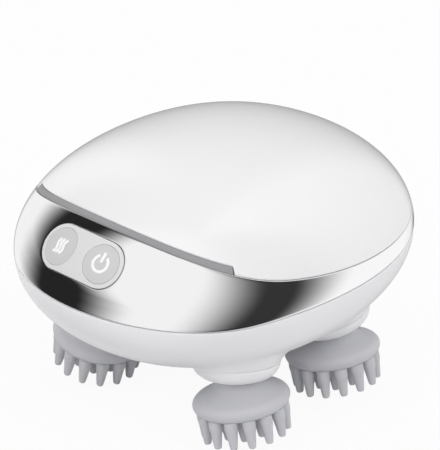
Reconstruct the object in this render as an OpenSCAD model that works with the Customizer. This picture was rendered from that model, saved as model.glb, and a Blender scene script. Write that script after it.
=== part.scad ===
// Electric scalp massager: palm-held body of two half ellipsoids, four tilted
// rotating heads with soft fingers, one motor and worm that drive all four.
// Millimetres. +Z is up, the key panel faces -Y, the fingertips rest on z = 0.

/* [Body] */
// Length of the body, front to rear
body_l = 130; // [120:1:140]
// Width of the body
body_w = 112.4; // [106:0.2:120]
// Height of the upper half ellipsoid above the equator
top_h = 33.4; // [31:0.1:36]
// Depth of the lower half ellipsoid below the equator
bottom_h = 32.7; // [31:0.1:34]
// Wall of the top cover
cover_wall = 2.4; // [2:0.1:3]
// Wall of the bright band
band_wall = 1.8; // [1.5:0.1:2.2]
// Wall of the lower shell
shell_wall = 2.4; // [2:0.1:3]

/* [Parting lines] */
// Height of the band's lower edge above the equator
seam_z = -0.5; // [-1.2:0.1:-0.2]
// Where the cover's edge turns from its long rear arc into its front arc
turn_y = -22.5; // [-26:0.5:-18]
// Height of the cover's edge at that point, above the equator
turn_z = 10.3; // [9.5:0.1:11]
// Fall of the edge towards the rear at that point, per mm
edge_fall = 0.157; // [0.14:0.001:0.17]
// Radius of the rear arc of the cover's edge
edge_rear_r = 412; // [380:2:460]
// Radius of the front arc of the cover's edge
edge_front_r = 62; // [58:1:68]
// Height of the grey strip under the cover's front edge
strip_h = 2.3; // [1.8:0.1:2.8]
// Depth of the rebate that the strip lies in
strip_t = 1.2; // [0.8:0.1:1.4]
// How far the strip's face lies below the cover's
strip_sink = 0.25; // [0.1:0.05:0.4]
// Half angle of the strip, seen from above, from the front
strip_half_angle = 50; // [40:1:60]

/* [Keys] */
// Height of the key panel's centre above the equator
panel_z = 14.6; // [14:0.1:15]
// Radius of the panel's round ends
panel_r = 7.3; // [7:0.1:7.5]
// Distance between the two keys
key_pitch = 16.5; // [16:0.1:17.5]
// Radius of a key's cap
key_r = 6; // [5.5:0.1:6.1]
// How far a key can be pressed
key_travel = 0.5; // [0.3:0.1:0.6]
// How far the panel and the keys stand out of the band
panel_proud = 0.3; // [0.1:0.1:0.5]

/* [Heads] */
// Distance of a head's disc from the middle plane, along the width
head_x = 30.5; // [30:0.1:31.2]
// Distance of a head's disc from the middle plane, along the length
head_y = 21.1; // [20.5:0.1:22]
// Depth of the discs' centres below the equator
head_drop = 39.7; // [39:0.1:41]
// Outward lean of the heads
head_tilt = 12; // [11:0.25:13]
// Radius of a head's disc
disc_r = 15; // [14:0.1:16]
// Thickness of the disc at its rounded rim
disc_t = 5.6; // [5.2:0.1:6]
// How far the disc's underside lies below its centre
disc_low = 1.8; // [1.5:0.1:2.2]
// Radius of the head's neck
neck_r = 7; // [6.8:0.1:7.4]
// Outward lean of the collars and bosses, to the side as well as to the end
collar_lean = 8; // [6:0.5:9]
// Fingers in the outer ring
outer_fingers = 14; // [12:2:14]
// Radius of the outer ring of fingers
outer_ring_r = 12.7; // [12.3:0.1:12.9]
// Fingers in the inner ring
inner_fingers = 7; // [5:1:8]
// Radius of the inner ring of fingers
inner_ring_r = 6.6; // [6:0.1:7]
// Reach of the fingertips below the disc's centre
finger_reach = 10.3; // [9:0.1:12]
// Radius of a finger at its root
finger_r = 2.1; // [1.8:0.1:2.2]
// Radius of a fingertip
tip_r = 1.1; // [1:0.05:1.3]

/* [Drive] */
// Gear module
gear_m = 1; // [0.9:0.05:1.05]
// Teeth of each worm wheel
wheel_teeth = 25; // [25:1:26]
// Teeth of each head gear
head_teeth = 20; // [19:1:21]
// Face width of the gears
gear_w = 3; // [2.5:0.5:3]
// Height of the gears' middle plane above the disc's centre, along the shaft
gear_t = 31.5; // [31:0.5:32.5]
// Play between gear teeth
backlash = 0.3; // [0.2:0.05:0.4]
// Radius of the head shafts
shaft_r = 2.5; // [2:0.1:3]
// Radius of the wheel axles
axle_r = 2; // [1.5:0.1:2.5]
// Running clearance of shafts and axles in their bores
running = 0.05; // [0.03:0.01:0.08]
// Width of the motor's can
motor_w = 20; // [19:0.5:21]
// Height of the motor's can between its flats
motor_h = 15; // [14:0.5:16]
// Length of the motor's can
motor_l = 25; // [22:0.5:27]
// Radius of the motor's shaft
motor_shaft_r = 1; // [0.75:0.05:1.2]

/* [Hidden] */

smooth = 128;           // facets of the large round shapes
fine = 48;              // facets of small round shapes
far = 200;              // longer than anything in the model
side_names = ["left", "right"];
end_names = ["front", "rear"];

// Colours of the finishes
white = "#f2f2f3";
pale = "#dcdce0";
grey = "#a0a0a2";
bright = "#c9ccd0";
rubber = "#cfcfd4";
dark = "#3a3c40";
green = "#2f6b3f";
brass = "#b08d57";

// Stations along a head's axis, from the disc's centre up into the body
rim_r = disc_t / 2;
disc_mid = rim_r - disc_low;
disc_top = disc_t - disc_low;
neck_top = 10.4;
collar_t = 12;                        // where the collar's axis crosses the head's
seal_low = 14.5;
seal_t = 2;
seal_r = shaft_r + 4;
bush_wall = 2;
bush_r = shaft_r + bush_wall;
bush_len = 7;
bush_low = seal_low + seal_t;
bush_top = bush_low + bush_len;
tower_r = bush_r + 2.2;
hub_r = 5;
hub_low = -0.5;
shaft_low = 1;
shaft_top = gear_t + 7;
bearing_low = gear_t + gear_w / 2 + 1.5;
finger_centre = finger_reach - tip_r;
finger_root = disc_low + 1.6;
finger_phase = 180 / outer_fingers;

// Collar and boss, along the collar's own axis from where it crosses the head's
collar_r = 14.1;                      // the collar where it meets the boss
collar_wall = 1.6;
bowl_r = 5.2;                         // round of the collar's outside
seat = 2.3;                           // where collar and boss meet
collar_low = seat - bowl_r;
mouth_r = neck_r + 1.5;
boss_flare = 2.6;                     // widening of a boss over its height
boss_h = 8;
boss_floor = 3;                       // thickness of the boss over the collar

// Height of the equator: the lowest fingertips, the inward ones, stand on z = 0
eq_z = head_drop + finger_centre * cos(head_tilt)
       + outer_ring_r * cos(finger_phase) * sin(head_tilt) + tip_r;

// Gear train, in the tilted plane of one side
wheel_r = gear_m * wheel_teeth / 2;
head_gear_r = gear_m * head_teeth / 2;
gear_x = head_x - gear_t * sin(head_tilt);
gear_z = gear_t * cos(head_tilt) - head_drop;
plane_dx = sqrt(pow(wheel_r + head_gear_r, 2) - pow(head_y, 2));
wheel_x = gear_x - plane_dx * cos(head_tilt);
wheel_z = gear_z - plane_dx * sin(head_tilt);
worm_z = wheel_z - wheel_x * tan(head_tilt);
worm_r = wheel_x / cos(head_tilt) - wheel_r;
worm_pitch = PI * gear_m;
worm_len = 11;
pressure = 20;
addendum = 0.9 * gear_m;
dedendum = 1.15 * gear_m;
thread_t = 0.36 * worm_pitch;

// Drive housing
motor_y = wheel_r + addendum + 0.8;
motor_neck = 2;
motor_neck_r = motor_shaft_r + 2;
end_cap_t = 3;
end_cap_step = 0.3;
bracket_y = -(worm_len / 2 + 5);
bracket_t = 3;
worm_bush_r = motor_shaft_r + 1.5;
deck_t = 2.5;
deck_z = shaft_top * cos(head_tilt) - head_drop - 0.6;
deck_top = deck_z + deck_t;
leg_x = 39.5;
leg_y = 12;
leg_r = 3.2;
leg_z = -12;
deck_edge_x = leg_x + leg_r + 1;
deck_nose_x = 14;                     // the deck's rounded ends, front and rear
deck_nose_y = 40;
deck_nose_r = 6;
bearing_wall = 2.2;
bracket_wall = 2;
board_post_r = 2;
screw_head_h = 1.6;
screw_r = 1.2;
screw_bite = 6;

// Key frame: origin on the body's surface, local Z out along its normal
panel_y = -body_l / 2 * sqrt(1 - pow(panel_z / top_h, 2));
panel_lean = atan2(-panel_y / pow(body_l / 2, 2), panel_z / pow(top_h, 2));
panel_back = -6;                      // the back of the panel's flange
panel_flange = 1.4;                   // how far and how thick the flange is
key_gap = 0.25;
key_flange_t = 0.8;
key_flange_r = key_r + 0.8;
switch_size = 6;
switch_h = 3.4;
plunger_r = 1.7;
plunger_out = key_travel + 0.4;       // how far a plunger stands out of its switch
plunger_in = 1.2;                     // how far it reaches into the switch
plunger_well = 2.4;
stem_r = 1.6;
key_low = panel_back - 0.15 - key_flange_t;
stem_low = key_low - 1.2;
switch_top = stem_low - plunger_out;
board_t = 1.2;
key_board_z = switch_top - switch_h;
post_y = 5.3;
post_r = 1.5;
post_bite = 3;                        // depth of a post's screw hole
board_screw_r = 0.8;
key_board_l = key_pitch + 10;
key_board_w = 2 * post_y + 5;
above_panel = 3;                      // clear above the body's surface at the keys

// Boards, battery and socket
main_board = [44, 34, 1.6];
main_board_y = -17;
board_gap = 2.5;
socket = [9, 7.4, 3.3];
socket_wall = 0.35;
socket_tongue = [6.6, 0.7];
socket_z = -7;
socket_mouth_y = body_l / 2 - 2.4;
socket_board = [13, 7, 1];
socket_board_y = socket_mouth_y - 4.2 - socket_board[1];
clip_w = 14;
clip_t = 1.6;
clip_gap = 0.4;
clip_hook = 1.2;
clip_hook_h = 1.4;
battery = [34, 44, 8];
battery_y = 26;

// ---------------------------------------------------------------- placing

module at_equator() translate([0, 0, eq_z]) children();

module at_head(side, end)
  translate([side * head_x, end * head_y, eq_z - head_drop])
    rotate([0, -side * head_tilt, 0]) children();

module at_collar(side, end)
  at_head(side, end) translate([0, 0, collar_t]) rotate([0, side * head_tilt, 0])
    rotate([end * collar_lean, -side * collar_lean, 0]) children();

module at_wheel(side)
  translate([side * wheel_x, 0, eq_z + wheel_z])
    rotate([0, -side * head_tilt, 0]) children();

module at_keys()
  translate([0, panel_y, eq_z + panel_z]) rotate([panel_lean, 0, 0]) children();

module along_y(y) translate([0, y, eq_z + worm_z]) rotate([-90, 0, 0]) children();

// ---------------------------------------------------------------- body forms

module ellipsoid(h, inset)
  scale([body_w / 2 - inset, body_l / 2 - inset, h - inset]) sphere(1, $fn = smooth);

// Whole body, drawn in by inset on every side: two half ellipsoids that share the equator
module body(inset) {
  intersection() {
    ellipsoid(top_h, inset);
    above(0);
  }
  intersection() {
    ellipsoid(bottom_h, inset);
    below(0);
  }
}

// Everything above the cover's edge raised by lift: one extruded profile with
// two arcs that meet tangentially
module above_edge(lift) translate([-far, 0, 0]) rotate([90, 0, 90]) linear_extrude(2 * far) {
  intersection() {
    translate([turn_y - far, -far]) square([far, 2 * far]);
    union() {
      edge_arc(edge_front_r, lift);
      translate([-far, turn_z + edge_front_r]) square([2 * far, far]);
    }
  }
  intersection() {
    translate([turn_y, -far]) square([far, 2 * far]);
    edge_arc(edge_rear_r, lift);
  }
}

// Circle of the edge's profile that passes the turning point at the edge's slope
module edge_arc(r, lift) {
  slope = atan(edge_fall);
  translate([turn_y + r * sin(slope), turn_z + r * cos(slope) + lift]) circle(r, $fn = 6 * smooth);
}

// The sector in front that the strip takes, widened by extra degrees
module front_sector(extra) {
  half = strip_half_angle + extra;
  linear_extrude(2 * far)
    polygon([[0, 0], [-far * sin(half), -far * cos(half)],
             [-far, -far], [far, -far], [far * sin(half), -far * cos(half)]]);
}

module below(z) translate([-far, -far, z - 2 * far]) cube([2 * far, 2 * far, 2 * far]);

module above(z) translate([-far, -far, z]) cube(2 * far);

// Pill outline of the key panel, grown by extra
module pill(extra) {
  for (side = [-1, 1]) translate([side * key_pitch / 2, 0]) circle(panel_r + extra, $fn = fine);
  square([key_pitch, 2 * (panel_r + extra)], center = true);
}

// ---------------------------------------------------------------- casings

module top_cover() color(white) at_equator() {
  difference() {
    intersection() {
      ellipsoid(top_h, 0);
      above_edge(0);
    }
    ellipsoid(top_h, cover_wall);
    difference() {
      intersection() {
        ellipsoid(top_h, -1);
        front_sector(0);
      }
      above_edge(strip_h);
      ellipsoid(top_h, strip_t);
    }
  }
  for (side = [-1, 1]) cover_clip(side);
}

// Tongue that hooks under the chassis deck's side edge
module cover_clip(side) {
  inner_x = deck_edge_x + clip_gap;
  hook_low = deck_z - clip_gap - clip_hook_h;
  intersection() {
    ellipsoid(top_h, 1);
    above(0.2);
    clip_bar(side, inner_x, clip_t, 0, top_h);
  }
  clip_bar(side, inner_x, clip_t, hook_low, 0.3 - hook_low);
  clip_bar(side, inner_x - clip_hook, clip_hook + 0.1, hook_low, clip_hook_h);
}

// Upright bar of a clip: from x outward by t, from z upward by h, mirrored by side
module clip_bar(side, x, t, z, h) mirror([side < 0 ? 1 : 0, 0, 0])
  translate([x, -clip_w / 2, z]) cube([t, clip_w, h]);

module trim_strip() color(grey) at_equator() difference() {
  intersection() {
    ellipsoid(top_h, strip_sink);
    above_edge(0);
    front_sector(-0.1);
  }
  above_edge(strip_h);
  ellipsoid(top_h, strip_t);
}

module chrome_band() color(bright) difference() {
  at_equator() difference() {
    intersection() {
      body(0);
      above(seam_z);
    }
    above_edge(0);
    body(band_wall);
  }
  at_keys() translate([0, 0, -far / 2]) linear_extrude(far) pill(0);
}

// One leaning boss that carries a head, flaring into the shell
module boss() translate([0, 0, seat])
  cylinder(h = boss_h, r1 = collar_r, r2 = collar_r + boss_flare, $fn = smooth);

module shell_pillars() for (side = [-1, 1], end = [-1, 1])
  intersection() {
    ellipsoid(bottom_h, 1);
    translate([side * leg_x, end * leg_y, -bottom_h])
      cylinder(h = bottom_h + leg_z, r = leg_r, $fn = fine);
  }

// Two cross ribs that cradle the motor from below
module cradle_ribs() for (share = [0.25, 0.75])
  intersection() {
    ellipsoid(bottom_h, 1);
    translate([-motor_w / 4, motor_y + share * motor_l - 1, -bottom_h])
      cube([motor_w / 2, 2, bottom_h + worm_z - motor_h / 2]);
  }

// Ledge that the charging socket's board lies on
module socket_shelf() intersection() {
  ellipsoid(bottom_h, 1);
  translate([-socket_board[0] / 2, socket_board_y, -bottom_h])
    cube([socket_board[0], 12, bottom_h + socket_z - socket[2] / 2 - socket_board[2]]);
}

// Upstand inside the shell's rim that centres the band
module locating_lip() {
  lip_t = 1.6;
  difference() {
    intersection() {
      body(band_wall + 0.1);
      above(seam_z - 4);
    }
    above(seam_z + 2);
    body(band_wall + lip_t);
  }
}

module lower_shell() color(white) difference() {
  union() {
    difference() {
      union() {
        at_equator() difference() {
          body(0);
          above(seam_z);
        }
        for (side = [-1, 1], end = [-1, 1]) at_collar(side, end) boss();
      }
      at_equator() body(shell_wall);
    }
    for (side = [-1, 1], end = [-1, 1]) {
      at_collar(side, end) translate([0, 0, seat])
        cylinder(h = boss_floor, r = collar_r, $fn = smooth);
      at_head(side, end) translate([0, 0, bush_low])
        cylinder(h = bush_len, r = tower_r, $fn = fine);
    }
    at_equator() {
      shell_pillars();
      cradle_ribs();
      socket_shelf();
      locating_lip();
    }
  }
  for (side = [-1, 1], end = [-1, 1]) {
    at_head(side, end) {
      translate([0, 0, bush_low]) cylinder(h = bush_len + 1, r = bush_r, $fn = fine);
      translate([0, 0, neck_top]) cylinder(h = bush_low - neck_top, r = seal_r, $fn = fine);
    }
    at_collar(side, end) translate([0, 0, seat - 2 * bowl_r])
      cylinder(h = 2 * bowl_r, r = collar_r, $fn = smooth);
    at_equator() translate([side * leg_x, end * leg_y, leg_z - screw_bite])
      cylinder(h = screw_bite + 1, r = screw_r, $fn = fine);
  }
  at_equator() translate([0, socket_mouth_y - socket[1] - 0.2, socket_z]) rotate([-90, 0, 0])
    linear_extrude(far) socket_outline(0.15);
}

// ---------------------------------------------------------------- key panel

module key_panel() color(pale) {
  difference() {
    intersection() {
      at_equator() ellipsoid(top_h, -panel_proud);
      at_keys() translate([0, 0, panel_back]) linear_extrude(above_panel - panel_back) pill(0);
    }
    key_holes();
  }
  difference() {
    intersection() {
      at_equator() ellipsoid(top_h, band_wall + 0.05);
      at_keys() translate([0, 0, panel_back]) linear_extrude(-panel_back) pill(panel_flange);
    }
    key_holes();
  }
  at_keys() for (end = [-1, 1]) translate([0, end * post_y, key_board_z]) difference() {
    cylinder(h = panel_back - key_board_z, r = post_r, $fn = fine);
    translate([0, 0, -1]) cylinder(h = 1 + post_bite, r = board_screw_r, $fn = fine);
  }
}

module key_holes() at_keys() for (side = [-1, 1])
  translate([side * key_pitch / 2, 0, -far / 2]) cylinder(h = far, r = key_r + key_gap, $fn = fine);

// A key: cap that follows the body's curve, flange behind the panel, stem
module key(side) color(pale) {
  intersection() {
    at_equator() ellipsoid(top_h, -panel_proud);
    at_keys() translate([side * key_pitch / 2, 0, key_low])
      cylinder(h = above_panel - key_low, r = key_r, $fn = fine);
  }
  at_keys() translate([side * key_pitch / 2, 0, 0]) {
    translate([0, 0, key_low]) cylinder(h = key_flange_t, r = key_flange_r, $fn = fine);
    translate([0, 0, stem_low]) cylinder(h = key_low - stem_low + 0.1, r = stem_r, $fn = fine);
  }
}

module plunger(side) color(rubber) at_keys()
  translate([side * key_pitch / 2, 0, switch_top - plunger_in])
    cylinder(h = plunger_out + plunger_in, r = plunger_r, $fn = fine);

module tact_switch(side) color(dark) at_keys() translate([side * key_pitch / 2, 0, key_board_z])
  difference() {
    translate([-switch_size / 2, -switch_size / 2, 0]) cube([switch_size, switch_size, switch_h]);
    translate([0, 0, switch_h - plunger_well])
      cylinder(h = plunger_well + 1, r = plunger_r + 0.3, $fn = fine);
  }

module key_board() color(green) at_keys() translate([0, 0, key_board_z - board_t]) difference() {
  translate([-key_board_l / 2, -key_board_w / 2, 0]) cube([key_board_l, key_board_w, board_t]);
  for (end = [-1, 1]) translate([0, end * post_y, -1])
    cylinder(h = board_t + 2, r = board_screw_r + 0.1, $fn = fine);
}

module board_screws() color(dark) at_keys() for (end = [-1, 1])
  translate([0, end * post_y, key_board_z - board_t]) {
    translate([0, 0, -board_screw_r]) cylinder(h = board_screw_r, r = post_r, $fn = fine);
    cylinder(h = board_t + post_bite - 0.5, r = board_screw_r, $fn = fine);
  }

// ---------------------------------------------------------------- head pieces

// Fixed bowl under a boss; the turning neck reaches into its open mouth
module collar() color(pale) difference() {
  rotate_extrude($fn = smooth) intersection() {
    union() {
      translate([collar_r - bowl_r, seat]) circle(bowl_r, $fn = smooth);
      translate([0, collar_low]) square([collar_r - bowl_r, bowl_r]);
    }
    translate([0, collar_low]) square([collar_r, bowl_r]);
  }
  translate([0, 0, collar_low + collar_wall])
    cylinder(h = bowl_r, r = collar_r - 2 * collar_wall, $fn = smooth);
  translate([0, 0, collar_low - 1]) cylinder(h = bowl_r, r = mouth_r, $fn = smooth);
}

module shaft_seal() color(dark) translate([0, 0, seal_low]) difference() {
  cylinder(h = seal_t, r = seal_r, $fn = fine);
  translate([0, 0, -1]) cylinder(h = seal_t + 2, r = shaft_r + running, $fn = fine);
}

module shaft_bush() color(brass) translate([0, 0, bush_low]) difference() {
  cylinder(h = bush_len, r = bush_r, $fn = fine);
  translate([0, 0, -1]) cylinder(h = bush_len + 2, r = shaft_r + running, $fn = fine);
}

// One finger: thick root, taper, round tip
module finger(r, angle) rotate([0, 0, angle]) translate([r, 0, 0]) {
  translate([0, 0, -finger_root]) cylinder(h = finger_root, r = finger_r, $fn = fine / 2);
  translate([0, 0, -finger_centre])
    cylinder(h = finger_centre - finger_root, r1 = tip_r, r2 = finger_r, $fn = fine / 2);
  translate([0, 0, -finger_centre]) sphere(tip_r, $fn = fine / 2);
}

// Half section of a head: rounded disc and a neck whose hollow fillet ends where the rim starts
module head_section() {
  rim_x = disc_r - rim_r;
  span = rim_x - neck_r;
  flare_r = (pow(span, 2) + pow(neck_top - disc_top, 2)) / (2 * span);
  translate([rim_x, disc_mid]) circle(rim_r, $fn = fine);
  translate([0, -disc_low]) square([rim_x, disc_t]);
  difference() {
    square([rim_x, neck_top]);
    translate([neck_r + flare_r, neck_top]) circle(flare_r, $fn = smooth);
  }
}

module massage_head() color(rubber) difference() {
  union() {
    rotate_extrude($fn = smooth) head_section();
    for (i = [0:outer_fingers - 1]) finger(outer_ring_r, finger_phase + i * 360 / outer_fingers);
    for (i = [0:inner_fingers - 1]) finger(inner_ring_r, i * 360 / inner_fingers);
  }
  translate([0, 0, hub_low]) cylinder(h = neck_top - hub_low + 1, r = hub_r, $fn = fine);
}

module head_hub() color(white) difference() {
  translate([0, 0, hub_low]) cylinder(h = neck_top - hub_low, r = hub_r, $fn = fine);
  translate([0, 0, shaft_low]) cylinder(h = neck_top, r = shaft_r, $fn = fine);
}

module head_shaft() color(bright) translate([0, 0, shaft_low])
  cylinder(h = shaft_top - shaft_low, r = shaft_r, $fn = fine);

// ---------------------------------------------------------------- gears

function involute(r, base) = let (a = acos(min(1, base / r))) tan(a) * 180 / PI - a;

// Spur gear outline with a tooth centred on angle 0
module gear_outline(teeth) {
  pitch = gear_m * teeth / 2;
  base = pitch * cos(pressure);
  tip = pitch + addendum;
  root = pitch - dedendum;
  start = max(base, root);
  half = 90 / teeth - backlash / 2 / pitch * 180 / PI / 2 + involute(pitch, base);
  flank = [for (i = [0:4]) let (r = start + (tip - start) * i / 4) [r, half - involute(r, base)]];
  one = concat([[root, half]], flank, [for (i = [4:-1:0]) [flank[i][0], -flank[i][1]]], [[root, -half]]);
  polygon([for (k = [0:teeth - 1], i = [len(one) - 1:-1:0])
    let (p = one[i], a = p[1] + k * 360 / teeth) [p[0] * cos(a), p[0] * sin(a)]]);
}

// Phase of a head gear that puts it in mesh with a wheel of phase wheel_phase
function head_gear_phase(direction, wheel_phase) =
  direction + 180 - 360 / head_teeth * (0.5 - (direction - wheel_phase) * wheel_teeth / 360);

// Direction, in the tilted plane, from a wheel to a head gear
function mesh_direction(side, end) = atan2(end * head_y, side * plane_dx);

// The worm's thread has its gap at y = 0 towards the right wheel
function thread_gap_y(angle) = worm_pitch * (angle - head_tilt) / 360;

function wheel_phase(side) = side > 0 ? 180 : asin(thread_gap_y(180 - head_tilt) / wheel_r);

module head_gear(side, end) color(white) difference() {
  union() {
    translate([0, 0, gear_t - gear_w / 2]) linear_extrude(gear_w)
      rotate(head_gear_phase(mesh_direction(side, end), wheel_phase(side))) gear_outline(head_teeth);
    translate([0, 0, bush_top + 0.5]) cylinder(h = gear_t - bush_top, r = shaft_r + 2, $fn = fine);
    translate([0, 0, gear_t]) cylinder(h = bearing_low - gear_t - 0.3, r = shaft_r + 1.5, $fn = fine);
  }
  translate([0, 0, bush_top]) cylinder(h = gear_t, r = shaft_r, $fn = fine);
}

module worm_wheel(side) color("#e8e4d8") difference() {
  union() {
    translate([0, 0, -gear_w / 2]) linear_extrude(gear_w)
      rotate(wheel_phase(side)) gear_outline(wheel_teeth);
    translate([0, 0, -gear_w / 2 - 1]) cylinder(h = bearing_low - gear_t + gear_w / 2 + 0.7,
                                                 r = axle_r + 2, $fn = fine);
  }
  translate([0, 0, -gear_w]) cylinder(h = 3 * gear_w, r = axle_r + running, $fn = fine);
}

module wheel_axle() color(bright) {
  low = -gear_w / 2 - 1.3;
  translate([0, 0, low]) cylinder(h = shaft_top - gear_t - low, r = axle_r, $fn = fine);
  translate([0, 0, low - 1]) cylinder(h = 1, r = axle_r + 1.2, $fn = fine);
}

// Radius of the worm's surface at a share of a turn away from the thread's crest
function thread_radius(turn) = let (from_crest = abs(turn - round(turn)) * worm_pitch)
  max(worm_r - dedendum, min(worm_r + addendum, worm_r + (thread_t / 2 - from_crest) / tan(pressure)));

// Single-start worm: the outline's radius follows the thread's flank once around
module worm() color(brass) {
  steps = 24;
  gap_angle = head_tilt - 180 * worm_len / worm_pitch;
  difference() {
    along_y(-worm_len / 2) linear_extrude(worm_len, twist = 360 * worm_len / worm_pitch,
                                          slices = ceil(steps * worm_len / worm_pitch))
      polygon([for (i = [0:steps - 1])
        let (a = i * 360 / steps, r = thread_radius((a + gap_angle + 180) / 360))
        [r * cos(a), r * sin(a)]]);
    along_y(-worm_len) cylinder(h = 2 * worm_len, r = motor_shaft_r, $fn = fine);
  }
}

// ---------------------------------------------------------------- motor and chassis

module motor_shaft() color(bright) {
  low = bracket_y - bracket_t / 2;
  along_y(low) cylinder(h = motor_y + motor_l + 1 - low, r = motor_shaft_r, $fn = fine);
}

module motor_can() color("#b9bcc0") difference() {
  union() {
    along_y(motor_y) linear_extrude(motor_l - end_cap_t) intersection() {
      circle(motor_w / 2, $fn = smooth);
      square([motor_w, motor_h], center = true);
    }
    along_y(motor_y - motor_neck) cylinder(h = motor_neck, r = motor_neck_r, $fn = fine);
  }
  along_y(motor_y - far / 2) cylinder(h = far, r = motor_shaft_r + running, $fn = fine);
}

module motor_end_cap() color(dark) difference() {
  along_y(motor_y + motor_l - end_cap_t) linear_extrude(end_cap_t) intersection() {
    circle(motor_w / 2 - end_cap_step, $fn = smooth);
    square([motor_w, motor_h - 2 * end_cap_step], center = true);
  }
  along_y(motor_y) cylinder(h = far, r = motor_shaft_r + running, $fn = fine);
}

module worm_bush() color(brass) difference() {
  along_y(bracket_y - bracket_t / 2) cylinder(h = bracket_t, r = worm_bush_r, $fn = fine);
  along_y(bracket_y - bracket_t) cylinder(h = 2 * bracket_t, r = motor_shaft_r + running, $fn = fine);
}

// Flat deck with tilted bearings, worm bracket, motor ribs and four legs
module chassis() color("#8d9196") difference() {
  union() {
    at_equator() {
      translate([0, 0, deck_z]) linear_extrude(deck_t) hull() {
        for (side = [-1, 1], end = [-1, 1]) {
          translate([side * leg_x, end * leg_y]) circle(leg_r + 1, $fn = fine);
          translate([side * deck_nose_x, end * deck_nose_y]) circle(deck_nose_r, $fn = fine);
        }
      }
      for (side = [-1, 1], end = [-1, 1]) translate([side * leg_x, end * leg_y, leg_z])
        cylinder(h = deck_z - leg_z + 1, r = leg_r, $fn = fine);
      for (share = [0.25, 0.75])
        translate([-motor_w / 4, motor_y + share * motor_l - 1, worm_z + motor_h / 2])
          cube([motor_w / 2, 2, deck_z - worm_z - motor_h / 2 + 1]);
      worm_bracket();
      board_posts();
    }
    intersection() {
      union() {
        for (side = [-1, 1], end = [-1, 1]) at_head(side, end) translate([0, 0, bearing_low])
          cylinder(h = shaft_top - bearing_low + 3, r = shaft_r + bearing_wall, $fn = fine);
        for (side = [-1, 1]) at_wheel(side) translate([0, 0, bearing_low - gear_t])
          cylinder(h = shaft_top - bearing_low + 5, r = axle_r + bearing_wall, $fn = fine);
      }
      at_equator() below(deck_top);
    }
  }
  for (side = [-1, 1], end = [-1, 1]) at_head(side, end) translate([0, 0, bearing_low - 1])
    cylinder(h = shaft_top - bearing_low + 1.3, r = shaft_r + running, $fn = fine);
  for (side = [-1, 1]) at_wheel(side) translate([0, 0, bearing_low - gear_t - 1])
    cylinder(h = shaft_top - bearing_low + 1, r = axle_r, $fn = fine);
  along_y(bracket_y - bracket_t) cylinder(h = 2 * bracket_t, r = worm_bush_r, $fn = fine);
  at_equator() for (side = [-1, 1], end = [-1, 1]) translate([side * leg_x, end * leg_y, leg_z - 1])
    cylinder(h = far, r = screw_r + 0.2, $fn = fine);
}

// Plate under the deck that holds the bush of the worm's free end
module worm_bracket() translate([-worm_bush_r - bracket_wall, bracket_y - bracket_t / 2,
                                 worm_z - worm_bush_r - bracket_wall])
  cube([2 * (worm_bush_r + bracket_wall), bracket_t, deck_z - worm_z + worm_bush_r + bracket_wall + 1]);

// Four posts that carry the main board over the deck
module board_posts() for (side = [-1, 1], end = [-1, 1])
  translate([side * (main_board[0] / 2 - board_post_r - 1),
             main_board_y + end * (main_board[1] / 2 - board_post_r - 1), deck_top - 0.5])
    cylinder(h = board_gap + 0.5, r = board_post_r, $fn = fine);

module chassis_screws() color(bright) at_equator() for (side = [-1, 1], end = [-1, 1])
  translate([side * leg_x, end * leg_y, leg_z - screw_bite]) {
    cylinder(h = deck_top - leg_z + screw_bite + 0.5, r = screw_r, $fn = fine);
    translate([0, 0, deck_top - leg_z + screw_bite])
      cylinder(h = screw_head_h, r = 2 * screw_r, $fn = fine);
  }

module main_board() color(green) at_equator()
  translate([-main_board[0] / 2, main_board_y - main_board[1] / 2, deck_top + board_gap])
    cube(main_board);

module battery_cell() color("#5c7fa8") at_equator()
  translate([-battery[0] / 2, battery_y - battery[1] / 2, deck_top]) cube(battery);

// ---------------------------------------------------------------- charging socket

// Flat oval outline of the socket, grown by extra
module socket_outline(extra) {
  end_r = socket[2] / 2;
  for (side = [-1, 1]) translate([side * (socket[0] / 2 - end_r), 0]) circle(end_r + extra, $fn = fine);
  square([socket[0] - 2 * end_r, 2 * (end_r + extra)], center = true);
}

module charging_socket() color(bright) at_equator()
  translate([0, socket_mouth_y - socket[1], socket_z]) rotate([-90, 0, 0]) {
    difference() {
      linear_extrude(socket[1]) socket_outline(0);
      translate([0, 0, 1]) linear_extrude(socket[1]) socket_outline(-socket_wall);
    }
    translate([-socket_tongue[0] / 2, -socket_tongue[1] / 2, 0.5])
      cube([socket_tongue[0], socket_tongue[1], socket[1] - 1.5]);
  }

module charge_board() color(green) at_equator()
  translate([-socket_board[0] / 2, socket_board_y, socket_z - socket[2] / 2 - socket_board[2]])
    cube(socket_board);

// ---------------------------------------------------------------- nodes

top_cover();
trim_strip();
chrome_band();
lower_shell();
key_panel();
chassis();
motor_can();
motor_end_cap();
worm_bush();
main_board();
key_board();
tact_switch(-1);  // mode_switch
tact_switch(1);  // power_switch
charge_board();  // socket_board
charging_socket();
battery_cell();  // battery
chassis_screws();
board_screws();
key(-1);  // mode_key
key(1);  // power_key
plunger(-1);  // mode_plunger
plunger(1);  // power_plunger
worm();
motor_shaft();
for (s = [0, 1]) {
  side = 2 * s - 1;
  at_wheel(side) wheel_axle();
  at_wheel(side) worm_wheel(side);
}
for (s = [0, 1], e = [0, 1]) {
  side = 2 * s - 1;
  end = 2 * e - 1;
  place = str("_", end_names[e], "_", side_names[s]);
  at_collar(side, end) collar();
  at_head(side, end) shaft_seal();
  at_head(side, end) shaft_bush();
  at_head(side, end) massage_head();
  at_head(side, end) head_hub();
  at_head(side, end) head_shaft();
  at_head(side, end) head_gear(side, end);
}
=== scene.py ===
"""Looks of the electric scalp massager. The outer pieces are finer skins of the CAD
solids, worked out from the same forms; the pieces inside stay the CAD solids.
Sizes are millimetres in the row frame and become metres where a mesh is made."""
import math

import bmesh
import bpy
import numpy as np
from mathutils import Matrix, Vector


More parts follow.
